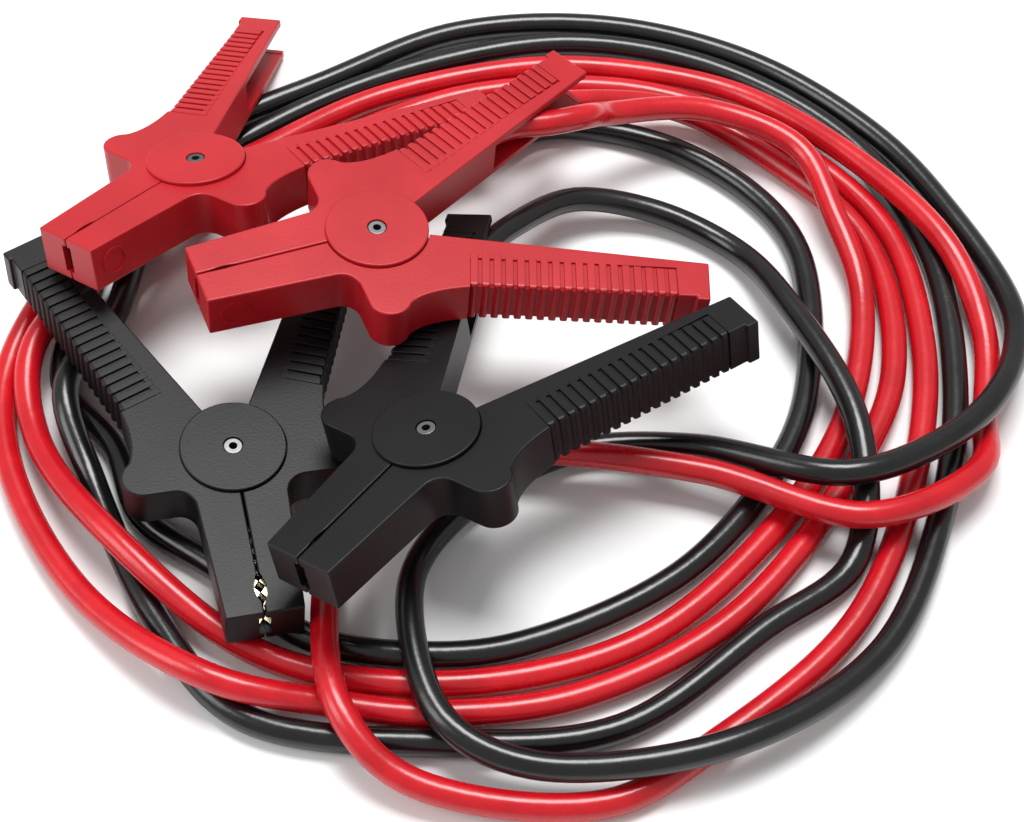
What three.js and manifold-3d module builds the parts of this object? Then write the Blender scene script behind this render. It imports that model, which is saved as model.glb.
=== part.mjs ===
import * as THREE from 'three';
import { mergeVertices } from 'three/addons/utils/BufferGeometryUtils.js';
import Module from 'manifold-3d';

const wasm = await Module();
wasm.setup();

// Driving dimensions, in millimetres. A clamp is drawn lying flat with its pivot on the Z axis,
// its closed jaws along -X and its two handles spread towards +X, one on each side of Y = 0.
const clearance = 0.3;
const wall = 2.2;
const bodyHeight = 15;
const roundSides = 24;

// Jaws: one half on each side of a straight seam.
const jawLength = 57.5;
const jawTipHalf = 11.4;
const jawRootHalf = 13.6;
const seamGap = 0.4;
const lensMiddle = 49;
const lensLength = 11.8;
const lensWidth = 3.8;
const slitWidth = 1.4;
const mouthWidth = 3.6;
const mouthLip = 0.7;

// Finger guard ear and the waist behind it.
const earSetback = 6;
const earReach = 34;
const earRadius = 6.5;
const earFillet = 6;
const waistSetback = 7.5;
const waistReach = 28;

// Handles, measured along a line at the handle's angle and across it, away from the other handle.
const handleAngle = THREE.MathUtils.degToRad(24.5);
const handleLength = 103;
const handleMiddle = 10.3;
const handleRoot = 27;
const handleInnerRoot = 17.2;
const handleRootWidth = 19.6;
const handleEndWidth = 13.9;
const endLip = 1.2;
const endLipLength = 4;

// Pivot: each lever has an outer disc on one face and an inner lug on the other, so that the two
// levers interleave, and a hollow rivet holds them together.
const discRadius = 16;
const discRise = 1.2;
const discSink = 1.6;
const lugRadius = 15;
const lugThickness = 2.5;
const rivetShank = 2.4;
const rivetBore = 1.3;
const rivetHead = 3.4;
const rivetHeadThickness = 0.8;
const rivetSeat = 1.3;

// Torsion spring.
const springMean = 7;
const springWire = 1.8;
const springLeg = 40;

// Toothed metal contact strip in each jaw.
const contactThickness = 1.2;
const contactRear = 20.5;
const contactDepth = 8.4;
const toothCount = 9;
const toothDepth = 1.5;
const toothTip = 0.2;

// Cable and the cross wall in the handle that holds it.
const cableDiameter = 8.4;
const cableRadius = cableDiameter / 2;
const cableStart = 44;
const crossWall = 46;
const crossWallThickness = 3;
const cableSides = 8;
const cableSteps = 140;
const slotClearance = 0.9;

const red = { color: 0xb31523, roughness: 0.45, metalness: 0 };
const black = { color: 0x232324, roughness: 0.5, metalness: 0 };
const redCable = { color: 0xbd0c1c, roughness: 0.35, metalness: 0 };
const blackCable = { color: 0x111113, roughness: 0.35, metalness: 0 };
const plated = { color: 0xc9c1ac, roughness: 0.35, metalness: 1 };
const steel = { color: 0x8d8f92, roughness: 0.4, metalness: 1 };

// Levels of the pivot stack for the lever whose disc is on top.
const discTop = bodyHeight + discRise;
const discUnder = bodyHeight - discSink;
const lugUnder = discSink + clearance;
const lugTop = lugUnder + lugThickness;
const otherLugUnder = bodyHeight - lugTop;
const turnRadius = discRadius + clearance;
const middleHeight = bodyHeight / 2;

function solidOf(geometry) {
  const bare = geometry.clone();
  bare.deleteAttribute('normal');
  bare.deleteAttribute('uv');
  const merged = mergeVertices(bare);
  return new wasm.Manifold(new wasm.Mesh({
    numProp: 3,
    vertProperties: new Float32Array(merged.attributes.position.array),
    triVerts: new Uint32Array(merged.index.array),
  }));
}

function geometryOf(solid) {
  const mesh = solid.getMesh();
  const geometry = new THREE.BufferGeometry();
  geometry.setAttribute('position', new THREE.BufferAttribute(mesh.vertProperties, 3));
  geometry.setIndex(new THREE.BufferAttribute(mesh.triVerts, 1));
  geometry.computeVertexNormals();
  return geometry;
}

function point(x, y) {
  return new THREE.Vector2(x, y);
}

function prism(points, bottom, top) {
  const geometry = new THREE.ExtrudeGeometry(new THREE.Shape(points), {
    depth: top - bottom, bevelEnabled: false, steps: 1,
  });
  geometry.translate(0, 0, bottom);
  return solidOf(geometry);
}

function cylinder(radius, bottom, top) {
  const geometry = new THREE.CylinderGeometry(radius, radius, top - bottom, roundSides);
  geometry.rotateX(Math.PI / 2);
  geometry.translate(0, 0, (bottom + top) / 2);
  return solidOf(geometry);
}

function rod(radius, from, to, sides) {
  const geometry = new THREE.CylinderGeometry(radius, radius, from.distanceTo(to), sides);
  const along = to.clone().sub(from).normalize();
  geometry.applyQuaternion(new THREE.Quaternion().setFromUnitVectors(new THREE.Vector3(0, 1, 0), along));
  const middle = from.clone().add(to).multiplyScalar(0.5);
  geometry.translate(middle.x, middle.y, middle.z);
  return solidOf(geometry);
}

function arc(centreX, centreY, radius, fromDegrees, toDegrees, steps) {
  const points = [];
  for (let i = 0; i <= steps; i += 1) {
    const angle = THREE.MathUtils.degToRad(fromDegrees + (toDegrees - fromDegrees) * i / steps);
    points.push(point(centreX + radius * Math.cos(angle), centreY + radius * Math.sin(angle)));
  }
  return points;
}

function onHandle(along, across) {
  return point(
    along * Math.cos(handleAngle) - across * Math.sin(handleAngle),
    along * Math.sin(handleAngle) + across * Math.cos(handleAngle),
  );
}

// Half the handle's width at a distance along it.
function handleHalf(along) {
  const share = (along - handleRoot) / (handleLength - handleRoot);
  return (handleRootWidth + (handleEndWidth - handleRootWidth) * share) / 2;
}

// Plan outline of one lever, moved in by an inset on its outer side. Its inner side, along the seam
// and the inside of the handle, is moved out by the overshoot, which opens the channel there.
function leverOutline(inset, overshoot) {
  const seamEdge = seamGap / 2 - overshoot;
  const earSide = -earSetback - earRadius;
  const lipStart = handleLength - endLipLength;
  const endOuter = handleMiddle + handleHalf(lipStart) - inset;
  return [
    point(-jawLength + inset, seamEdge),
    point(-jawLength + inset, jawTipHalf - inset),
    ...arc(earSide - earFillet, jawRootHalf + earFillet, earFillet + inset, -90, 0, 3),
    ...arc(-earSetback, earReach - earRadius, earRadius - inset, 180, 40, 5),
    point(waistSetback, waistReach - inset),
    onHandle(handleRoot, handleMiddle + handleHalf(handleRoot) - inset),
    onHandle(lipStart, endOuter),
    onHandle(lipStart, endOuter + endLip),
    onHandle(handleLength - inset, endOuter + endLip),
    onHandle(handleLength - inset, handleMiddle - handleHalf(handleLength) - overshoot),
    onHandle(handleInnerRoot, handleMiddle - handleHalf(handleInnerRoot) - overshoot),
    point(seamGap, seamEdge),
  ];
}

// Opening at the tip's seam, pointed at both ends. The contacts show through the wide one.
function lensHole(width) {
  const points = [];
  const steps = 4;
  for (let side = 0; side < 2; side += 1) {
    for (let i = 0; i < steps; i += 1) {
      const share = i / steps;
      const bulge = Math.sin(Math.PI * share) * width / 2;
      const x = -lensMiddle + lensLength * (side === 0 ? 0.5 - share : share - 0.5);
      points.push(point(x, side === 0 ? bulge : -bulge));
    }
  }
  return prism(points, -discRise, bodyHeight + discRise);
}

// Wall across the handle's channel, with a round hole that the cable passes through.
function cableWall() {
  const inner = (along) => handleMiddle - handleHalf(along);
  const outer = (along) => handleMiddle + handleHalf(along) - wall / 2;
  const rear = crossWall + crossWallThickness;
  const plate = prism([
    onHandle(crossWall, inner(crossWall)),
    onHandle(rear, inner(rear)),
    onHandle(rear, outer(rear)),
    onHandle(crossWall, outer(crossWall)),
  ], wall / 2, bodyHeight - wall / 2);
  const hole = cableRod(cableRadius + clearance, crossWall - wall, rear + wall);
  return plate.subtract(hole);
}

// Straight rod along the handle's middle line, at half height.
function cableRod(radius, from, to) {
  const start = onHandle(from, handleMiddle);
  const end = onHandle(to, handleMiddle);
  return rod(radius, new THREE.Vector3(start.x, start.y, middleHeight),
    new THREE.Vector3(end.x, end.y, middleHeight), 12);
}

// Slot in the handle's end wall, open towards the other handle, for a cable that leaves straight on.
function endSlot() {
  const half = cableRadius + slotClearance;
  const reach = handleMiddle + half;
  const innerSide = handleMiddle - handleHalf(handleLength) - wall;
  const from = handleLength - wall - clearance;
  const to = handleLength + wall;
  return prism([
    onHandle(from, innerSide), onHandle(to, innerSide), onHandle(to, reach), onHandle(from, reach),
  ], middleHeight - half, middleHeight + half);
}

// One moulded lever: a channel open towards its twin, with its disc on top and its lug below.
function leverSolid(openingWidth) {
  const outline = leverOutline(0, 0);
  let body = prism(outline, 0, bodyHeight);
  body = body.subtract(prism(leverOutline(wall, jawTipHalf / 2), wall, bodyHeight - wall));
  const padFront = discRadius + wall;
  const padBox = prism([
    point(-padFront, seamGap / 2), point(handleInnerRoot, seamGap / 2),
    point(handleInnerRoot, earReach), point(-padFront, earReach),
  ], lugUnder, lugTop);
  body = body.add(prism(outline, 0, bodyHeight).intersect(padBox));
  body = body.subtract(cylinder(turnRadius, -wall, lugUnder));
  body = body.subtract(cylinder(turnRadius, lugTop, discUnder));
  body = body.add(cylinder(discRadius, discUnder, discTop));
  body = body.add(cylinder(lugRadius, lugUnder, lugTop));
  body = body.add(cableWall());
  body = body.subtract(cylinder(rivetShank + clearance, -wall, discTop + wall));
  body = body.subtract(cylinder(rivetHead + clearance, discTop - rivetSeat, discTop + wall));
  body = body.subtract(lensHole(openingWidth));
  body = body.subtract(endSlot());
  const mouth = prism([
    point(-jawLength - wall, -mouthWidth / 2), point(-jawLength + wall + clearance, -mouthWidth / 2),
    point(-jawLength + wall + clearance, mouthWidth / 2), point(-jawLength - wall, mouthWidth / 2),
  ], wall + mouthLip, bodyHeight - wall - mouthLip);
  return body.subtract(mouth);
}

// Toothed contact: a sheet metal channel lying in the jaw, its two toothed edges at the seam.
function contactSolid() {
  const front = -jawLength + wall + clearance;
  const rear = -contactRear;
  const pitch = (rear - front) / toothCount;
  const edge = [];
  for (let i = 0; i < toothCount; i += 1) {
    edge.push(point(front + pitch * i, toothTip + toothDepth));
    edge.push(point(front + pitch * (i + 0.5), toothTip));
  }
  edge.push(point(rear, toothTip + toothDepth));
  const backFace = [point(rear, contactDepth), point(front, contactDepth)];
  const low = wall + clearance;
  const high = bodyHeight - low;
  const flange = [...edge, ...backFace];
  const web = prism([
    point(front, contactDepth - contactThickness), point(rear, contactDepth - contactThickness), ...backFace,
  ], low, high);
  return web
    .add(prism(flange, low, low + contactThickness))
    .add(prism(flange, high - contactThickness, high));
}

// Hollow rivet with a flat head in the seat of each disc.
function rivetGeometry() {
  const bottom = -discRise + rivetSeat - clearance - rivetHeadThickness;
  const top = bodyHeight - bottom;
  const profile = [
    point(rivetBore, bottom), point(rivetHead, bottom), point(rivetHead, bottom + rivetHeadThickness),
    point(rivetShank, bottom + rivetHeadThickness), point(rivetShank, top - rivetHeadThickness),
    point(rivetHead, top - rivetHeadThickness), point(rivetHead, top), point(rivetBore, top),
    point(rivetBore, bottom),
  ];
  const geometry = new THREE.LatheGeometry(profile, 16);
  geometry.rotateX(Math.PI / 2);
  return geometryOf(solidOf(geometry));
}

// Torsion spring: its coil as a plain ring between the two lugs, with one leg against each handle.
function springSolid() {
  const low = lugTop + clearance;
  const high = otherLugUnder - clearance;
  const half = springWire / 2;
  const ring = cylinder(springMean + half, low, high).subtract(cylinder(springMean - half, low - 1, high + 1));
  const start = onHandle(0, springMean);
  const rest = handleMiddle + handleHalf(springLeg) - wall - clearance - half;
  const end = onHandle(springLeg, rest);
  const leg = (side, height) => rod(half, new THREE.Vector3(start.x, start.y * side, height),
    new THREE.Vector3(end.x, end.y * side, height), 8);
  return ring.add(leg(1, low + half)).add(leg(-1, high - half));
}

const slitLever = geometryOf(leverSolid(slitWidth));
const lensLever = geometryOf(leverSolid(lensWidth));
const contactGeometry = geometryOf(contactSolid());
const rivet = rivetGeometry();
const springGeometry = geometryOf(springSolid());

function named(name, geometry, look) {
  const mesh = new THREE.Mesh(geometry, new THREE.MeshStandardMaterial(look));
  mesh.name = name;
  return mesh;
}

// A clamp's side is +1 for the lever with its disc on top and -1 for its twin, turned over.
function sideGroup(side) {
  const group = new THREE.Group();
  if (side < 0) {
    group.rotation.x = Math.PI;
    group.position.z = bodyHeight;
  }
  return group;
}

function buildClamp(clamp) {
  const group = new THREE.Group();
  group.position.set(...clamp.place);
  group.rotation.set(...[clamp.roll, clamp.pitch, clamp.yaw].map(THREE.MathUtils.degToRad), 'ZYX');
  for (const [role, side] of [['fixed', clamp.cableSide], ['moving', -clamp.cableSide]]) {
    const half = sideGroup(side);
    half.add(named(`${clamp.name}_${role}_lever`, clamp.lever, clamp.look));
    half.add(named(`${clamp.name}_${role}_contact`, contactGeometry, plated));
    group.add(half);
  }
  group.add(named(`${clamp.name}_rivet`, rivet, steel));
  group.add(named(`${clamp.name}_spring`, springGeometry, steel));
  return group;
}

// How the four clamps lie: pivot's place, turn about Z, jaws up or down, and sideways tilt. The
// rear red clamp is lowered onto the floor; the others lie on it, on each other and on the cables.
const redRear = {
  name: 'red_clamp_rear', look: red, lever: slitLever, cableSide: -1,
  place: [-103.0, 88.6, 28.3], yaw: 52.9, pitch: 12.4, roll: -9.7,
};
const redFront = {
  name: 'red_clamp_front', look: red, lever: slitLever, cableSide: 1,
  place: [-42.8, 51.6, 39.7], yaw: 23.0, pitch: 5.3, roll: 0,
};
const blackLeft = {
  name: 'black_clamp_left', look: black, lever: lensLever, cableSide: -1,
  place: [-85.4, -10.7, 12.8], yaw: 104.0, pitch: -1.9, roll: 6.2,
};
const blackRight = {
  name: 'black_clamp_right', look: black, lever: slitLever, cableSide: 1,
  place: [-22.8, -20.6, 31.9], yaw: 53.7, pitch: 4.9, roll: -12.8,
};

// Each cable's route as read off the photograph: inside the first clamp's handle, over the floor
// and over itself, and into the other clamp's handle. Points in a handle are along it, across it
// and above the clamp's lower face.
const redRoute = {
  from: redFront,
  start: [[cableStart, handleMiddle, 7.5], [60, handleMiddle, 7.5], [71, 7.4, 7.5], [82, 0, 7.5], [94, -5.5, 6.8]],
  floor: [
    [32.5, 128, 29], [67.5, 138, 21], [99.5, 124.5, 16.5], [110.5, 96.5, 11.5], [117, 67, 6],
    [107, 17.5, 4.2], [77.5, -28.5, 4.2], [36.5, -64.5, 4.2], [-19, -78, 4.2], [-72.5, -69, 5],
    [-118, -35, 13.5], [-150, 7.5, 8], [-155, 41, 11.5], [-132.5, 74.5, 14], [-105.5, 104, 7],
    [-65, 137, 5], [-15.5, 162.5, 4.2], [43.5, 165, 4.2], [89, 144.5, 4.2], [128, 100, 4.2],
    [135.5, 46.5, 4.2], [125, -8, 4.2], [101.5, -58, 4.2], [59.5, -95.5, 4.2], [26, -115, 4.2],
    [-29.5, -109.5, 8.5], [-48.5, -91, 15], [-55, -52, 11.5], [-51.5, -27.5, 7], [-27, -5.5, 8.5],
    [2, -2.5, 13.5], [59, -9, 12.5], [106.5, -28, 17], [144.5, -7.5, 11.5], [151, 15.5, 5],
    [155.5, 50, 6.5], [146.5, 83, 13], [119.5, 125.5, 10.5], [83, 161.5, 5.5], [43.5, 175, 4.3],
    [6.5, 176.5, 4.35], [-49.5, 160, 5], [-94.5, 125.5, 9], [-135.5, 93.5, 14], [-163, 41.5, 6],
    [-159, 2, 5.5], [-128.5, -49, 6.5], [-85, -81, 13.5], [-53, -84.5, 5.5], [-25.5, -87.5, 4.4],
    [18, -82.5, 4.3], [63.5, -58, 4.2], [101, -13, 4.2], [124, 34, 4.25], [121.5, 91.5, 4.3],
    [90.5, 131, 5], [56, 150.5, 10],
  ],
  into: redRear,
  end: [[118, handleMiddle, 7.5], [103, handleMiddle, 7.5], [80, handleMiddle, 7.5], [cableStart, handleMiddle, 7.5]],
};
const blackRoute = {
  from: blackRight,
  start: [[cableStart, handleMiddle, 7.5], [60, handleMiddle, 7.5], [80, 8.8, 7.5], [95, 4.6, 7.5]],
  floor: [
    [0, 84.5, 20], [21.5, 103, 13], [50.5, 102.5, 7], [76.5, 86, 6], [90, 59.5, 12], [108, 6.5, 14.5],
    [103.5, -37, 5.5], [75, -60, 5], [31, -92, 4.2], [-21, -96.5, 4.2], [-77, -88.5, 4.2],
    [-104, -59, 4.2], [-130.5, -8.5, 5.5], [-141.5, 21.5, 14.3], [-132.5, 57, 5.5], [-122, 111.5, 4.2],
    [-81.5, 151, 4.2], [-31, 178, 4.2], [22, 189.5, 4.2], [75.5, 176, 4.2], [121, 138.5, 4.2],
    [142.5, 89.5, 4.2], [144, 32, 4.2], [131.5, -22.5, 4.2], [107.5, -69, 6], [60.5, -101, 13],
    [5.5, -106.5, 11.5], [-19, -94, 13.5], [-30, -58.5, 12], [-26.5, -34, 6], [-5, -9, 4.2],
    [21.5, 4, 5], [57.5, 2.5, 9], [100.5, -15, 20.5], [128.5, -4, 18], [153, 18.5, 15], [166, 55, 8],
    [150.5, 107, 5], [130, 143, 4.2], [89.5, 179.5, 4.2], [36.5, 199, 4.2], [-20.5, 196, 4.2],
    [-68, 170, 4.2], [-118, 136, 4.2], [-139.5, 86.5, 4.2], [-145.5, 30.5, 4.2], [-125.5, 5.5, 4.2],
    [-113.5, -21, 4.2], [-88.5, -39.5, 4.2], [-60, -62.5, 4.2], [-26.5, -68.5, 4.2], [3, -65, 4.2],
    [52, -40, 4.2], [85.5, 2, 4.2], [96.5, 33.5, 4.2], [98, 87, 4.2], [83.5, 114.5, 4.2],
    [51.5, 138.5, 4.35], [12.5, 145.5, 4.5], [-16, 126.5, 7.5],
  ],
  into: blackLeft,
  end: [[118, 12.8, 6], [103, 10.3, 7.2], [80, handleMiddle, 7.5], [cableStart, handleMiddle, 7.5]],
};

function inHandle(clamp, group, [along, across, height]) {
  const flat = onHandle(along, across);
  return group.localToWorld(new THREE.Vector3(flat.x, flat.y * clamp.cableSide, height));
}

function cableGeometry(route, groups) {
  const fromGroup = groups.get(route.from);
  const intoGroup = groups.get(route.into);
  const curve = new THREE.CatmullRomCurve3([
    ...route.start.map((place) => inHandle(route.from, fromGroup, place)),
    ...route.floor.map((place) => new THREE.Vector3(...place)),
    ...route.end.map((place) => inHandle(route.into, intoGroup, place)),
  ], false, 'centripetal');
  curve.arcLengthDivisions = cableSteps * 20;
  const section = new THREE.Shape(arc(0, 0, cableRadius, 0, 360 - 360 / cableSides, cableSides - 1));
  return new THREE.ExtrudeGeometry(section, { steps: cableSteps, extrudePath: curve });
}

const table = new THREE.Group();
const groups = new Map();
for (const clamp of [redRear, redFront, blackLeft, blackRight]) {
  const group = buildClamp(clamp);
  table.add(group);
  groups.set(clamp, group);
}
const rearBox = new THREE.Box3().setFromObject(groups.get(redRear), true);
groups.get(redRear).position.z -= rearBox.min.z;
table.updateMatrixWorld(true);

// The part's origin is on the floor, under the middle of the box around the four clamps.
const clampBox = new THREE.Box3().setFromObject(table, true);
const redCableGeometry = cableGeometry(redRoute, groups);
const blackCableGeometry = cableGeometry(blackRoute, groups);
table.add(named('red_cable', redCableGeometry, redCable));
table.add(named('black_cable', blackCableGeometry, blackCable));
table.position.x = -(clampBox.min.x + clampBox.max.x) / 2;
table.position.y = -(clampBox.min.y + clampBox.max.y) / 2;

const object = new THREE.Group();
object.add(table);

export default object;
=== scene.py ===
import math

import bpy
from mathutils import Matrix, Vector


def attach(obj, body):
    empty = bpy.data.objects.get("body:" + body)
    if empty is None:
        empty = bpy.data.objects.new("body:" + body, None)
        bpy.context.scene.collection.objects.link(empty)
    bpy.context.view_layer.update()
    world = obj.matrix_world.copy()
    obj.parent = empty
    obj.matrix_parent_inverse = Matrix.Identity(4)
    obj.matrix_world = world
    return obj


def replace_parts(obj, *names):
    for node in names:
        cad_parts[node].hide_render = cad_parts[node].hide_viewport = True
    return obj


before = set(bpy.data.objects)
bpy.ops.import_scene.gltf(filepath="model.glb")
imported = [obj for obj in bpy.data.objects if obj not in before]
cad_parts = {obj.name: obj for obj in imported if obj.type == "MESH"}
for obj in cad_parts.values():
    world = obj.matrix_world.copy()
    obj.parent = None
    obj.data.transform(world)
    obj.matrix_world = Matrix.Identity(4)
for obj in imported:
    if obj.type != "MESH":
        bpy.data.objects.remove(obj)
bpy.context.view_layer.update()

# The photo is taken from in front and above, 56 degrees up, with a long lens close over a table.
# The cable routes and clamp places below are measured on that table, from the point the lens aims at.
table_to_part = Vector((0.0441, -0.06011, 0))
camera_elevation = math.radians(56)
camera_distance = 0.555
bpy.ops.object.select_all(action="DESELECT")
towards_camera = Vector((0, -math.cos(camera_elevation), math.sin(camera_elevation)))
camera_place = table_to_part + towards_camera * camera_distance
bpy.ops.object.camera_add(location=camera_place, rotation=(math.pi / 2 - camera_elevation, 0, 0))
photo_camera = bpy.context.object
photo_camera.data.sensor_width = 36
photo_camera.data.lens = 61.6
photo_camera.data.shift_y = 0.0569
photo_camera.data.clip_start = 0.01
bpy.context.scene.camera = photo_camera

# Each clamp is drawn lying flat with its pivot at the origin, closed jaws along -X and a handle on
# each side of +X, and is then put in its place on the heap by the pivot's place and three tilts.
clamp_places = {
    "red_clamp_rear": ((-0.1030, 0.0886, 0.02828), 52.9, 12.4, -9.7, -1),
    "red_clamp_front": ((-0.0428, 0.0516, 0.0397), 23.0, 5.3, 0.0, 1),
    "black_clamp_left": ((-0.0854, -0.0107, 0.0128), 104.0, -1.9, 6.2, -1),
    "black_clamp_right": ((-0.0228, -0.0206, 0.0319), 53.7, 4.9, -12.8, 1),
}
body_height = 0.015
handle_angle = math.radians(24.5)
handle_middle = 0.0103


def on_handle(along, across):
    return (
        along * math.cos(handle_angle) - across * math.sin(handle_angle),
        along * math.sin(handle_angle) + across * math.cos(handle_angle),
    )


def clamp_matrix(clamp):
    place, yaw, pitch, roll, _ = clamp_places[clamp]
    turn = (Matrix.Rotation(math.radians(yaw), 4, "Z") @ Matrix.Rotation(math.radians(pitch), 4, "Y")
            @ Matrix.Rotation(math.radians(roll), 4, "X"))
    return Matrix.Translation(table_to_part + Vector(place)) @ turn


def in_cable_handle(clamp, along, across, height):
    x, y = on_handle(along, across)
    return clamp_matrix(clamp) @ Vector((x, y * clamp_places[clamp][4], height))


# Two round leads about 2.8 m long and 8.4 mm thick: stranded copper in an extruded soft PVC sheath.
# Each goes in through the open side of a handle and is held there, and between its two clamps it
# lies in loose loops on the floor and over itself, with long low humps where strands cross.
cable_radius = 0.0042


def linear(hex_colour):
    parts = [int(hex_colour[i:i + 2], 16) / 255 for i in (0, 2, 4)]
    return [p / 12.92 if p <= 0.04045 else ((p + 0.055) / 1.055) ** 2.4 for p in parts] + [1]


def add_node(tree, kind, settings, links=()):
    node = tree.nodes.new(kind)
    for name, value in settings.items():
        if name in node.inputs:
            node.inputs[name].default_value = value
        else:
            setattr(node, name, value)
    for name, (source, output) in dict(links).items():
        tree.links.new(source.outputs[output], node.inputs[name])
    return node


def new_material(name):
    material = bpy.data.materials.new(name)
    material.use_nodes = True
    return material, material.node_tree, material.node_tree.nodes["Principled BSDF"]


def extruded_pvc(name, colour, darker, roughness):
    # Plasticised PVC straight from the extruder: glossy, with faint unevenness, dust and handling haze
    # that break its reflections up a little.
    material, tree, shader = new_material(name)
    place = add_node(tree, "ShaderNodeTexCoord", {})
    haze = add_node(tree, "ShaderNodeTexNoise", {"Scale": 45, "Detail": 4, "Roughness": 0.6},
                    {"Vector": (place, "Object")})
    ripple = add_node(tree, "ShaderNodeTexNoise", {"Scale": 260, "Detail": 2}, {"Vector": (place, "Object")})
    tint = add_node(tree, "ShaderNodeValToRGB", {}, {"Fac": (haze, "Fac")})
    tint.color_ramp.elements[0].color = linear(darker)
    tint.color_ramp.elements[0].position = 0.3
    tint.color_ramp.elements[1].color = linear(colour)
    tint.color_ramp.elements[1].position = 0.6
    gloss = add_node(tree, "ShaderNodeMapRange", {"To Min": roughness - 0.05, "To Max": roughness + 0.1},
                     {"Value": (haze, "Fac")})
    bump = add_node(tree, "ShaderNodeBump", {"Strength": 0.12, "Distance": 0.0006}, {"Height": (ripple, "Fac")})
    tree.links.new(tint.outputs["Color"], shader.inputs["Base Color"])
    tree.links.new(gloss.outputs["Result"], shader.inputs["Roughness"])
    tree.links.new(bump.outputs["Normal"], shader.inputs["Normal"])
    shader.inputs["IOR"].default_value = 1.53
    return material


def smooth_route(points, step=0.004):
    # Centripetal curve through the points.
    ends = [2 * points[0] - points[1], *points, 2 * points[-1] - points[-2]]
    route = []
    for i in range(1, len(ends) - 2):
        a, b, c, d = ends[i - 1:i + 3]
        t1 = (b - a).length ** 0.5
        t2 = t1 + (c - b).length ** 0.5
        t3 = t2 + (d - c).length ** 0.5
        pieces = max(2, round((c - b).length / step))
        for k in range(pieces):
            t = t1 + (t2 - t1) * k / pieces
            ab = a.lerp(b, t / t1)
            bc = b.lerp(c, (t - t1) / (t2 - t1))
            cd = c.lerp(d, (t - t2) / (t3 - t2))
            abc = ab.lerp(bc, t / t2)
            bcd = bc.lerp(cd, (t - t1) / (t3 - t1))
            route.append(abc.lerp(bcd, (t - t1) / (t2 - t1)))
    return route + [points[-1]]


def lay_cable(name, from_clamp, start, floor_points, into_clamp, end, material):
    points = [in_cable_handle(from_clamp, *place) for place in start]
    points += [table_to_part + Vector(place) for place in floor_points]
    points += [in_cable_handle(into_clamp, *place) for place in end]
    route = smooth_route(points)
    curve = bpy.data.curves.new(name, "CURVE")
    curve.dimensions = "3D"
    curve.bevel_depth = cable_radius
    curve.bevel_resolution = 6
    curve.use_fill_caps = True
    strand = curve.splines.new("POLY")
    strand.points.add(len(route) - 1)
    for spot, place in zip(strand.points, route):
        spot.co = (*place, 1)
    strand.use_smooth = True
    cable = bpy.data.objects.new(name, curve)
    bpy.context.collection.objects.link(cable)
    curve.materials.append(material)
    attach(cable, "cable_set")
    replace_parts(cable, name.replace("_sheathed", ""))
    return cable


red_pvc = extruded_pvc("red extruded PVC", "C8101E", "B00A18", 0.24)
black_pvc = extruded_pvc("black extruded PVC", "131315", "0B0B0D", 0.22)
lay_cable(
    "red_cable_sheathed", "red_clamp_front",
    [(0.044, handle_middle, 0.0075), (0.060, handle_middle, 0.0075), (0.071, 0.0074, 0.0075), (0.082, 0, 0.0075),
     (0.094, -0.0055, 0.0068)],
    [
        (0.0325, 0.128, 0.029), (0.0675, 0.138, 0.021), (0.0995, 0.1245, 0.0165), (0.1105, 0.0965, 0.0115),
        (0.117, 0.067, 0.006), (0.107, 0.0175, 0.0042), (0.0775, -0.0285, 0.0042), (0.0365, -0.0645, 0.0042),
        (-0.019, -0.078, 0.0042), (-0.0725, -0.069, 0.005), (-0.118, -0.035, 0.0135), (-0.15, 0.0075, 0.008),
        (-0.155, 0.041, 0.0115), (-0.1325, 0.0745, 0.014), (-0.1055, 0.104, 0.007), (-0.065, 0.137, 0.005),
        (-0.0155, 0.1625, 0.0042), (0.0435, 0.165, 0.0042), (0.089, 0.1445, 0.0042), (0.128, 0.1, 0.0042),
        (0.1355, 0.0465, 0.0042), (0.125, -0.008, 0.0042), (0.1015, -0.058, 0.0042), (0.0595, -0.0955, 0.0042),
        (0.026, -0.115, 0.0042), (-0.0295, -0.1095, 0.0085), (-0.0485, -0.091, 0.015),
        (-0.055, -0.052, 0.0115), (-0.0515, -0.0275, 0.007), (-0.027, -0.0055, 0.0085),
        (0.002, -0.0025, 0.0135), (0.059, -0.009, 0.0125), (0.1065, -0.028, 0.017), (0.1445, -0.0075, 0.0115),
        (0.151, 0.0155, 0.005), (0.1555, 0.05, 0.0065), (0.1465, 0.083, 0.013), (0.1195, 0.1255, 0.0105),
        (0.083, 0.1615, 0.0055), (0.0435, 0.175, 0.0043), (0.0065, 0.1765, 0.00435), (-0.0495, 0.16, 0.005),
        (-0.0945, 0.1255, 0.009), (-0.1355, 0.0935, 0.014), (-0.163, 0.0415, 0.006), (-0.159, 0.002, 0.0055),
        (-0.1285, -0.049, 0.0065), (-0.085, -0.081, 0.0135), (-0.053, -0.0845, 0.0055),
        (-0.0255, -0.0875, 0.0044), (0.018, -0.0825, 0.0043), (0.0635, -0.058, 0.0042),
        (0.101, -0.013, 0.0042), (0.124, 0.034, 0.00425), (0.1215, 0.0915, 0.0043), (0.0905, 0.131, 0.005),
        (0.056, 0.1505, 0.01),
    ],
    "red_clamp_rear",
    [(0.118, handle_middle, 0.0075), (0.103, handle_middle, 0.0075), (0.080, handle_middle, 0.0075),
     (0.044, handle_middle, 0.0075)],
    red_pvc,
)
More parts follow.
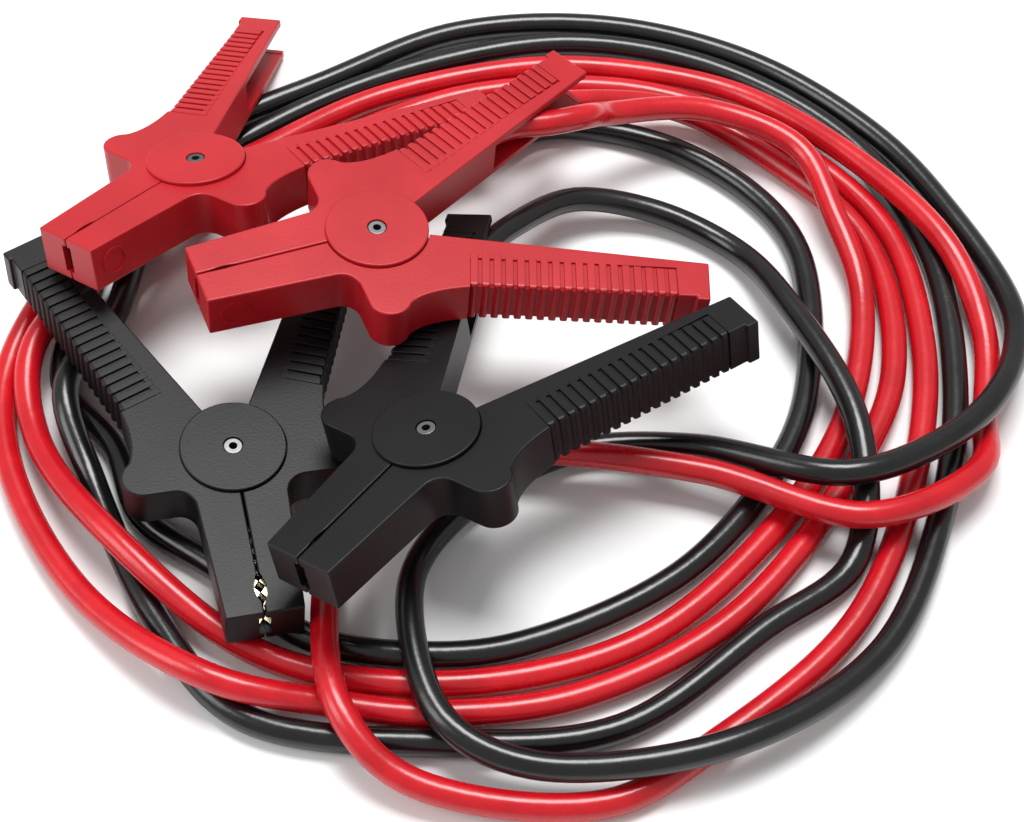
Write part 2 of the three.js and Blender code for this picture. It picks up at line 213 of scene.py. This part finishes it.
lay_cable(
    "black_cable_sheathed", "black_clamp_right",
    [(0.044, handle_middle, 0.0075), (0.060, handle_middle, 0.0075), (0.080, 0.0088, 0.0075),
     (0.095, 0.0046, 0.0075)],
    [
        (0, 0.0845, 0.02), (0.0215, 0.103, 0.013), (0.0505, 0.1025, 0.007), (0.0765, 0.086, 0.006),
        (0.09, 0.0595, 0.012), (0.108, 0.0065, 0.0145), (0.1035, -0.037, 0.0055), (0.075, -0.06, 0.005),
        (0.031, -0.092, 0.0042), (-0.021, -0.0965, 0.0042), (-0.077, -0.0885, 0.0042),
        (-0.104, -0.059, 0.0042), (-0.1305, -0.0085, 0.0055), (-0.1415, 0.0215, 0.0143),
        (-0.1325, 0.057, 0.0055), (-0.122, 0.1115, 0.0042), (-0.0815, 0.151, 0.0042), (-0.031, 0.178, 0.0042),
        (0.022, 0.1895, 0.0042), (0.0755, 0.176, 0.0042), (0.121, 0.1385, 0.0042), (0.1425, 0.0895, 0.0042),
        (0.144, 0.032, 0.0042), (0.1315, -0.0225, 0.0042), (0.1075, -0.069, 0.006), (0.0605, -0.101, 0.013),
        (0.0055, -0.1065, 0.0115), (-0.019, -0.094, 0.0135), (-0.03, -0.0585, 0.012), (-0.0265, -0.034, 0.006),
        (-0.005, -0.009, 0.0042), (0.0215, 0.004, 0.005), (0.0575, 0.0025, 0.009), (0.1005, -0.015, 0.0205),
        (0.1285, -0.004, 0.018), (0.153, 0.0185, 0.015), (0.166, 0.055, 0.008), (0.1505, 0.107, 0.005),
        (0.13, 0.143, 0.0042), (0.0895, 0.1795, 0.0042), (0.0365, 0.199, 0.0042), (-0.0205, 0.196, 0.0042),
        (-0.068, 0.17, 0.0042), (-0.118, 0.136, 0.0042), (-0.1395, 0.0865, 0.0042), (-0.1455, 0.0305, 0.0042),
        (-0.1255, 0.0055, 0.0042), (-0.1135, -0.021, 0.0042), (-0.0885, -0.0395, 0.0042),
        (-0.06, -0.0625, 0.0042), (-0.0265, -0.0685, 0.0042), (0.003, -0.065, 0.0042), (0.052, -0.04, 0.0042),
        (0.0855, 0.002, 0.0042), (0.0965, 0.0335, 0.0042), (0.098, 0.087, 0.0042), (0.0835, 0.1145, 0.0042),
        (0.0515, 0.1385, 0.00435), (0.0125, 0.1455, 0.0045), (-0.016, 0.1265, 0.0075),
    ],
    "black_clamp_left",
    [(0.118, 0.0128, 0.006), (0.103, 0.0103, 0.0072), (0.080, handle_middle, 0.0075),
     (0.044, handle_middle, 0.0075)],
    black_pvc,
)

# Each clamp is two identical levers, one turned over onto the other: injection-moulded ABS
# channels with rounded outer edges, open at the jaw and along the far half of the handle's inner
# side, a round boss on the pivot, a finger-guard ear, and grip ribs in a bed round the handle.
wall = 0.0022
jaw_length = 0.0575
jaw_tip_half = 0.0114
jaw_root_half = 0.0136
seam_gap = 0.0004
ear_setback = 0.006
ear_reach = 0.034
ear_radius = 0.0065
ear_fillet = 0.006
handle_length = 0.103
handle_root = 0.027
handle_inner_root = 0.0172
handle_root_width = 0.0196
handle_end_width = 0.0139
end_lip = 0.0012
end_lip_length = 0.004
inner_wall_end = 0.056
disc_radius = 0.016
disc_rise = 0.0012
disc_sink = 0.0016
lug_radius = 0.015
lug_under = 0.0019
lug_top = 0.0044
turn_clearance = 0.0003
through = 0.002
rivet_hole = 0.0025
rivet_seat_radius = 0.0031
rivet_seat_depth = 0.0013
lens_middle = 0.049
lens_length = 0.0118
edge_radius = 0.0014
rib_first = 0.0305
rib_last = 0.0915
rib_count = 18
rib_width = 0.0024
rib_depth = 0.0006
rib_proud = 0.0002
rib_inner_share = 0.34
grip_taper = math.atan((handle_root_width - handle_end_width) / 2 / (handle_length - handle_root))


def arc_points(centre_x, centre_y, radius, from_degrees, to_degrees, steps):
    turns = [math.radians(from_degrees + (to_degrees - from_degrees) * i / steps) for i in range(steps + 1)]
    return [(centre_x + radius * math.cos(t), centre_y + radius * math.sin(t)) for t in turns]


def handle_half(along):
    share = (along - handle_root) / (handle_length - handle_root)
    return (handle_root_width + (handle_end_width - handle_root_width) * share) / 2


def waist_points(inset):
    # Hollow behind the ear, from the ear's round end down and along to the handle's outer side.
    start = Vector(arc_points(-ear_setback, ear_reach - ear_radius, ear_radius - inset, 35, 35, 1)[0])
    low = Vector((0.0070, 0.0272 - inset))
    end = Vector(on_handle(0.036, handle_middle + handle_half(0.036) - inset))
    return [tuple((1 - t) ** 2 * start + 2 * t * (1 - t) * low + t * t * end) for t in (i / 10 for i in range(1, 11))]


def lever_outline(inset, overshoot):
    seam_edge = seam_gap / 2 - overshoot
    lip_start = handle_length - end_lip_length
    end_outer = handle_middle + handle_half(lip_start) - inset
    points = [
        (-jaw_length + inset, seam_edge),
        (-jaw_length + inset, jaw_tip_half - inset),
        *arc_points(-ear_setback - ear_radius - ear_fillet, jaw_root_half + ear_fillet,
                    ear_fillet + inset, -90, 0, 8),
        *arc_points(-ear_setback, ear_reach - ear_radius, ear_radius - inset, 180, 35, 14),
        *waist_points(inset),
        on_handle(lip_start, end_outer),
        on_handle(lip_start, end_outer + end_lip),
        on_handle(handle_length - inset, end_outer + end_lip),
    ]
    inner_end = handle_middle - handle_half(handle_length)
    inner_start = handle_middle - handle_half(handle_inner_root)
    if inset:
        step_in = handle_middle - handle_half(inner_wall_end)
        points += [
            on_handle(handle_length - inset, inner_end - overshoot),
            on_handle(inner_wall_end, step_in - overshoot),
            on_handle(inner_wall_end, step_in + wall),
            on_handle(handle_inner_root, inner_start + wall),
        ]
    else:
        points += [on_handle(handle_length, inner_end), on_handle(handle_inner_root, inner_start)]
    return points + [(seam_gap, seam_edge)]


def plate(name, outline, bottom, top):
    # A flat outline drawn by moving a circle's points, then pulled up to its thickness.
    bpy.ops.object.select_all(action="DESELECT")
    bpy.ops.mesh.primitive_circle_add(vertices=len(outline), radius=0.01, fill_type="NGON")
    piece = bpy.context.object
    piece.name = name
    for vertex, (x, y) in zip(piece.data.vertices, outline):
        vertex.co = (x, y, bottom)
    bpy.ops.object.mode_set(mode="EDIT")
    bpy.ops.mesh.select_all(action="SELECT")
    bpy.ops.mesh.extrude_region_move(TRANSFORM_OT_translate={"value": (0, 0, top - bottom)})
    bpy.ops.mesh.select_all(action="SELECT")
    bpy.ops.mesh.normals_make_consistent(inside=False)
    bpy.ops.object.mode_set(mode="OBJECT")
    return piece


def drum(name, radius, bottom, top, sides=64):
    bpy.ops.object.select_all(action="DESELECT")
    bpy.ops.mesh.primitive_cylinder_add(vertices=sides, radius=radius, depth=top - bottom)
    piece = bpy.context.object
    piece.name = name
    piece.data.transform(Matrix.Translation((0, 0, (bottom + top) / 2)))
    return piece


def round_edges(piece, width, segments, degrees=40):
    bpy.ops.object.select_all(action="DESELECT")
    bpy.context.view_layer.objects.active = piece
    piece.select_set(True)
    bevel = piece.modifiers.new("rounded edges", "BEVEL")
    bevel.width = width
    bevel.segments = segments
    bevel.limit_method = "ANGLE"
    bevel.angle_limit = math.radians(degrees)
    bpy.ops.object.modifier_apply(modifier=bevel.name)


def combine(piece, other, operation):
    bpy.ops.object.select_all(action="DESELECT")
    bpy.context.view_layer.objects.active = piece
    piece.select_set(True)
    step = piece.modifiers.new("combine", "BOOLEAN")
    step.operation = operation
    step.object = other
    step.solver = "EXACT"
    bpy.ops.object.modifier_apply(modifier=step.name)
    bpy.data.objects.remove(other)


def grip_recess():
    # Shallow bed for the ribs, round the top, outer side and underside of the handle.
    middle_along = (rib_first + rib_last) / 2
    half = handle_half(middle_along)
    inner = handle_middle - half + 2 * half * rib_inner_share
    outer = handle_middle + half - rib_depth
    low, high = rib_depth, body_height - rib_depth
    beyond = outer + 0.006
    bed = plate("grip bed", [
        (inner, high), (outer - 0.0008, high), (outer, high - 0.0008), (outer, low + 0.0008),
        (outer - 0.0008, low), (inner, low), (inner, -0.004), (beyond, -0.004),
        (beyond, body_height + 0.004), (inner, body_height + 0.004),
    ], -0.0305 - 0.0014, 0.0305 + 0.0014)
    lay_down = Matrix(((0, 0, 1, 0), (1, 0, 0, -handle_middle), (0, 1, 0, 0), (0, 0, 0, 1)))
    spot = Matrix.Translation((*on_handle(middle_along, handle_middle), 0))
    bed.data.transform(spot @ Matrix.Rotation(handle_angle - grip_taper, 4, "Z") @ lay_down)
    return bed


def grip_ribs():
    # One rib is a thin slab across the handle, its fold rounded, set along the handle at an even pitch.
    ribs = []
    for i in range(rib_count):
        along = rib_first + (rib_last - rib_first) * i / (rib_count - 1)
        half = handle_half(along)
        inner = handle_middle - half + 2 * half * rib_inner_share - 0.0006
        outer = handle_middle + half + rib_proud
        bpy.ops.object.select_all(action="DESELECT")
        bpy.ops.mesh.primitive_cube_add(size=1)
        rib = bpy.context.object
        rib.data.transform(Matrix.Diagonal((rib_width, outer - inner, body_height + 2 * rib_proud, 1)))
        bpy.ops.object.mode_set(mode="EDIT")
        bpy.ops.mesh.select_all(action="DESELECT")
        bpy.ops.object.mode_set(mode="OBJECT")
        for edge in rib.data.edges:
            a, b = (rib.data.vertices[v].co for v in edge.vertices)
            edge.select = a.y > 0 and b.y > 0 and abs(a.z - b.z) < 1e-6
        bpy.ops.object.mode_set(mode="EDIT")
        bpy.ops.mesh.bevel(offset=edge_radius, segments=4, affect="EDGES")
        bpy.ops.object.mode_set(mode="OBJECT")
        round_edges(rib, 0.00055, 3, 50)
        middle = Matrix.Translation((*on_handle(along, (inner + outer) / 2), body_height / 2))
        rib.data.transform(middle @ Matrix.Rotation(handle_angle - grip_taper, 4, "Z"))
        ribs.append(rib)
    bpy.ops.object.select_all(action="DESELECT")
    for rib in ribs:
        rib.select_set(True)
    bpy.context.view_layer.objects.active = ribs[0]
    bpy.ops.object.join()
    return ribs[0]


def tip_ring():
    # Raised plain ring on the outer side of the jaw, near its tip.
    ring = drum("tip ring", 0.0047, -0.001, 0.00035, 48)
    combine(ring, drum("ring middle", 0.0038, -0.002, 0.001, 48), "DIFFERENCE")
    lean = math.atan((jaw_root_half - jaw_tip_half) / (jaw_length - 0.0185))
    side = jaw_tip_half + (jaw_length - 0.0492) * math.tan(lean)
    ring.data.transform(Matrix.Translation((-0.0492, side, body_height / 2)) @ Matrix.Rotation(lean, 4, "Z")
                        @ Matrix.Rotation(-math.pi / 2, 4, "X"))
    return ring


def mould_lever(opening_width, ringed):
    lever = plate("lever", lever_outline(0, 0), 0, body_height)
    round_edges(lever, edge_radius, 4)
    combine(lever, grip_recess(), "DIFFERENCE")
    combine(lever, grip_ribs(), "UNION")
    if ringed:
        combine(lever, tip_ring(), "UNION")
    combine(lever, plate("hollow", lever_outline(wall, 0.006), wall, body_height - wall), "DIFFERENCE")
    combine(lever, drum("under cut", disc_radius + turn_clearance, -through, lug_under), "DIFFERENCE")
    boss = drum("boss", disc_radius, body_height - disc_sink, body_height + disc_rise)
    round_edges(boss, 0.0005, 3, 60)
    combine(lever, drum("lug", lug_radius, lug_under, lug_top), "UNION")
    combine(lever, drum("spring space", disc_radius + turn_clearance, lug_top, body_height - disc_sink), "DIFFERENCE")
    combine(lever, boss, "UNION")
    disc_top = body_height + disc_rise
    combine(lever, drum("rivet hole", rivet_hole, -through, disc_top + through, 32), "DIFFERENCE")
    seat = drum("rivet seat", rivet_seat_radius, disc_top - rivet_seat_depth, disc_top + through, 32)
    combine(lever, seat, "DIFFERENCE")
    lens = []
    for side in (1, -1):
        for i in range(10):
            share = i / 10
            x = -lens_middle + lens_length * (0.5 - share) * side
            lens.append((x, side * math.sin(math.pi * share) * opening_width / 2))
    combine(lever, plate("lens hole", lens, -through, body_height + through), "DIFFERENCE")
    front = -jaw_length - through
    mouth = [(front, -0.0018), (front + 0.0045, -0.0018), (front + 0.0045, 0.0018), (front, 0.0018)]
    combine(lever, plate("mouth", mouth, 0.0029, body_height - 0.0029), "DIFFERENCE")
    slot_half = cable_radius + 0.0009
    slot = [on_handle(*spot) for spot in ((0.1005, 0.001), (0.106, 0.001), (0.106, handle_middle + slot_half),
                                          (0.1005, handle_middle + slot_half))]
    combine(lever, plate("end slot", slot, body_height / 2 - slot_half, body_height / 2 + slot_half), "DIFFERENCE")
    return lever


def finish_shading(piece, degrees=32):
    bpy.ops.object.select_all(action="DESELECT")
    bpy.context.view_layer.objects.active = piece
    piece.select_set(True)
    bpy.ops.object.shade_smooth_by_angle(angle=math.radians(degrees))
    weigh = piece.modifiers.new("even shading", "WEIGHTED_NORMAL")
    weigh.keep_sharp = True
    bpy.ops.object.modifier_apply(modifier=weigh.name)


def moulded_plastic(name, colour, darker, roughness, shine):
    # Injection-moulded ABS with a fine spark-eroded mould texture: satin, slightly uneven in gloss,
    # with faint flow marks.
    material, tree, shader = new_material(name)
    place = add_node(tree, "ShaderNodeTexCoord", {})
    flow = add_node(tree, "ShaderNodeTexNoise", {"Scale": 28, "Detail": 5, "Roughness": 0.55},
                    {"Vector": (place, "Object")})
    grain = add_node(tree, "ShaderNodeTexNoise", {"Scale": 1500, "Detail": 3}, {"Vector": (place, "Object")})
    tint = add_node(tree, "ShaderNodeValToRGB", {}, {"Fac": (flow, "Fac")})
    tint.color_ramp.elements[0].color = linear(darker)
    tint.color_ramp.elements[0].position = 0.3
    tint.color_ramp.elements[1].color = linear(colour)
    tint.color_ramp.elements[1].position = 0.65
    gloss = add_node(tree, "ShaderNodeMapRange", {"To Min": roughness - 0.06, "To Max": roughness + 0.08},
                     {"Value": (flow, "Fac")})
    bump = add_node(tree, "ShaderNodeBump", {"Strength": 0.25, "Distance": 0.0002}, {"Height": (grain, "Fac")})
    tree.links.new(tint.outputs["Color"], shader.inputs["Base Color"])
    tree.links.new(gloss.outputs["Result"], shader.inputs["Roughness"])
    tree.links.new(bump.outputs["Normal"], shader.inputs["Normal"])
    shader.inputs["IOR"].default_value = 1.54
    shader.inputs["Specular IOR Level"].default_value = shine
    return material


red_abs = moulded_plastic("red moulded ABS", "B4131E", "A40E19", 0.38, 0.4)
black_abs = moulded_plastic("black moulded ABS", "0F0E10", "0A090B", 0.42, 0.26)
# The black clamp on the left has a wide opening at its tips, and the others a mere slit.
lever_patterns = {
    "red": mould_lever(0.0014, True),
    "black_clamp_left": mould_lever(0.0038, False),
    "black_clamp_right": mould_lever(0.0014, False),
}
for pattern in lever_patterns.values():
    finish_shading(pattern)
turn_over = Matrix.Translation((0, 0, body_height)) @ Matrix.Rotation(math.pi, 4, "X")
for clamp, (_, _, _, _, cable_side) in clamp_places.items():
    pattern = lever_patterns["red" if clamp.startswith("red") else clamp]
    for role, side in (("fixed", cable_side), ("moving", -cable_side)):
        lever = pattern.copy()
        lever.data = pattern.data.copy()
        lever.name = f"{clamp}_{role}_moulding"
        bpy.context.collection.objects.link(lever)
        lever.data.transform(clamp_matrix(clamp) @ (turn_over if side < 0 else Matrix.Identity(4)))
        lever.data.materials.clear()
        lever.data.materials.append(red_abs if clamp.startswith("red") else black_abs)
        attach(lever, "cable_set" if role == "fixed" else f"{clamp}_moving_jaw")
        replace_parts(lever, f"{clamp}_{role}_lever")
for pattern in lever_patterns.values():
    bpy.data.objects.remove(pattern)

# A hollow steel rivet, zinc plated, turned over at both ends in the seat of each boss.
rivet_shank = 0.0022
rivet_head = 0.0028
rivet_bore = 0.0013
head_thickness = 0.0008


def press_rivet():
    low = -disc_rise + rivet_seat_depth - turn_clearance - head_thickness
    high = body_height - low
    rivet = drum("rivet", rivet_shank, low, high, 32)
    for bottom in (low, high - head_thickness):
        head = drum("rivet head", rivet_head, bottom, bottom + head_thickness, 32)
        round_edges(head, 0.0003, 2, 60)
        combine(rivet, head, "UNION")
    combine(rivet, drum("rivet bore", rivet_bore, low - 0.001, high + 0.001, 24), "DIFFERENCE")
    return rivet


def plated_metal(name, colour, roughness):
    # Bright zinc on pressed steel: a soft mirror with fine scratches and a faint mottle.
    material, tree, shader = new_material(name)
    place = add_node(tree, "ShaderNodeTexCoord", {})
    mottle = add_node(tree, "ShaderNodeTexNoise", {"Scale": 400, "Detail": 4}, {"Vector": (place, "Object")})
    gloss = add_node(tree, "ShaderNodeMapRange", {"To Min": roughness - 0.08, "To Max": roughness + 0.12},
                     {"Value": (mottle, "Fac")})
    bump = add_node(tree, "ShaderNodeBump", {"Strength": 0.2, "Distance": 0.0002}, {"Height": (mottle, "Fac")})
    tree.links.new(gloss.outputs["Result"], shader.inputs["Roughness"])
    tree.links.new(bump.outputs["Normal"], shader.inputs["Normal"])
    shader.inputs["Base Color"].default_value = linear(colour)
    shader.inputs["Metallic"].default_value = 1
    return material


zinc_plate = plated_metal("zinc-plated steel", "77787A", 0.42)
rivet_pattern = press_rivet()
finish_shading(rivet_pattern)
for clamp in clamp_places:
    rivet = rivet_pattern.copy()
    rivet.data = rivet_pattern.data.copy()
    rivet.name = f"{clamp}_hollow_rivet"
    bpy.context.collection.objects.link(rivet)
    rivet.data.transform(clamp_matrix(clamp))
    rivet.data.materials.clear()
    rivet.data.materials.append(zinc_plate)
    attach(rivet, "cable_set")
    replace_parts(rivet, f"{clamp}_rivet")
bpy.data.objects.remove(rivet_pattern)

# Pressed and toothed sheet-metal strips in the jaws, brass coloured where the plating thins.
contact_brass = plated_metal("plated brass", "D8CDAE", 0.34)
for clamp in clamp_places:
    for role in ("fixed", "moving"):
        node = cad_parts[f"{clamp}_{role}_contact"]
        node.data.materials.clear()
        node.data.materials.append(contact_brass)

# A torsion spring of 1.8 mm wire between the two lugs, with a leg pressing on each handle.
spring_radius = 0.007
spring_wire = 0.0009
spring_low = 0.0057
spring_high = 0.0093
leg_length = 0.026


def wire(name, points, clamp, body):
    curve = bpy.data.curves.new(name, "CURVE")
    curve.dimensions = "3D"
    curve.bevel_depth = spring_wire
    curve.bevel_resolution = 4
    curve.use_fill_caps = True
    path = curve.splines.new("POLY")
    path.points.add(len(points) - 1)
    for spot, place in zip(path.points, points):
        spot.co = (*(clamp_matrix(clamp) @ Vector(place)), 1)
    path.use_smooth = True
    strand = bpy.data.objects.new(name, curve)
    bpy.context.collection.objects.link(strand)
    curve.materials.append(zinc_plate)
    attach(strand, body)
    return strand


for clamp, (_, _, _, _, cable_side) in clamp_places.items():
    # The coil runs from the leg on one handle to the leg on the other, two and a third turns later.
    first, last = 90 + math.degrees(handle_angle), 990 - math.degrees(handle_angle)
    coil = []
    for i in range(73):
        turn = math.radians(first + (last - first) * i / 72)
        coil.append((spring_radius * math.cos(turn), spring_radius * math.sin(turn),
                     spring_low + (spring_high - spring_low) * i / 72))
    x, y = on_handle(leg_length, spring_radius + 0.0015)
    legs = {1: [(x, y, spring_low), coil[0]], -1: [coil[-1], (x, -y, spring_high)]}
    coil_and_leg = legs[1] + coil[1:] if cable_side > 0 else coil[:-1] + legs[-1]
    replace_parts(wire(f"{clamp}_torsion_coil", coil_and_leg, clamp, "cable_set"), f"{clamp}_spring")
    wire(f"{clamp}_torsion_leg", legs[-cable_side], clamp, f"{clamp}_moving_jaw")

# A plain white paper sweep under one large soft box overhead, a second from the left and white fill.
bpy.ops.object.select_all(action="DESELECT")
bpy.ops.mesh.primitive_plane_add(size=8)
floor = bpy.context.object
floor.name = "paper_floor"
paper, paper_tree, paper_shader = new_material("white paper")
paper_shader.inputs["Base Color"].default_value = linear("F4F4F4")
paper_shader.inputs["Roughness"].default_value = 0.9
floor.data.materials.append(paper)
world = bpy.context.scene.world or bpy.data.worlds.new("studio")
bpy.context.scene.world = world
world.use_nodes = True
world.node_tree.nodes["Background"].inputs["Color"].default_value = (1, 1, 1, 1)
world.node_tree.nodes["Background"].inputs["Strength"].default_value = 0.5


def soft_box(name, place, aim, width, height, power):
    bpy.ops.object.light_add(type="AREA", location=place)
    lamp = bpy.context.object
    lamp.name = name
    lamp.data.shape = "RECTANGLE"
    lamp.data.size = width
    lamp.data.size_y = height
    lamp.data.energy = power
    lamp.rotation_euler = (Vector(aim) - Vector(place)).to_track_quat("-Z", "Y").to_euler()


soft_box("overhead_box", (0.1, 0.35, 1.3), (0, 0, 0), 0.7, 0.5, 18)
soft_box("left_box", (-1.1, -0.3, 0.9), (0, 0, 0), 0.5, 0.9, 7)
bpy.context.scene.view_settings.view_transform = "Standard"
